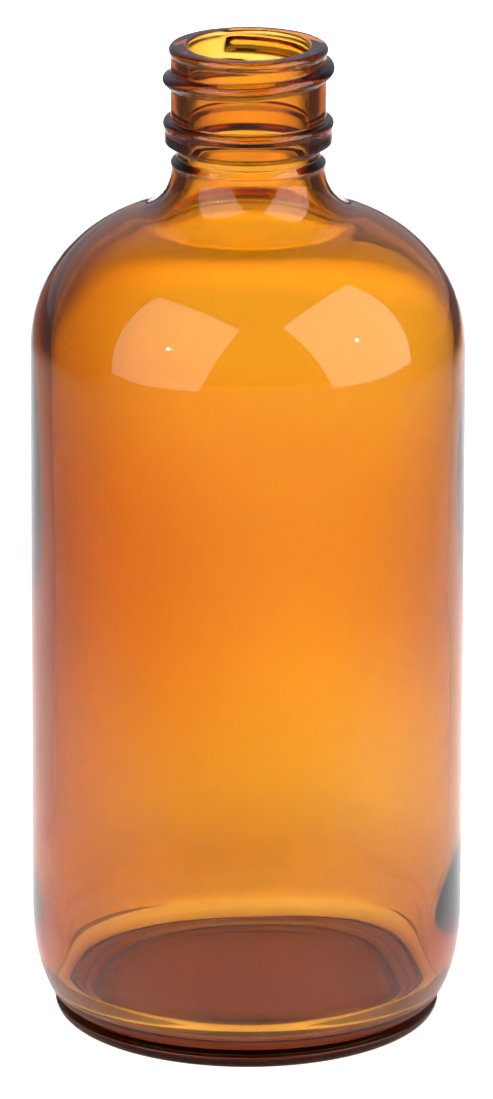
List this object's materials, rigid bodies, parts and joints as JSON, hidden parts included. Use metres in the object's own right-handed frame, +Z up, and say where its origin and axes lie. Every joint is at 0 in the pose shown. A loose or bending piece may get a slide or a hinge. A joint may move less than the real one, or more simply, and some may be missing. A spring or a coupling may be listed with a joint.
{
  "type": "reagent bottle",
  "caption": "Round amber glass bottle with a sloping shoulder, a narrow screw-threaded neck and an open mouth, for liquid reagents.",
  "frame": {"origin": "middle of the base, on the plane that the bottle stands on", "axes": "+Z up along the bottle's axis, towards the mouth; +X to the right and +Y to the back, seen from the front"},
  "size_m": [0.0604, 0.0604, 0.1395],
  "materials": {
    "amber_glass": "gloss"
  },
  "bodies": {
    "root": {"glass_bottle": "amber_glass"}
  },
  "joints": []
}
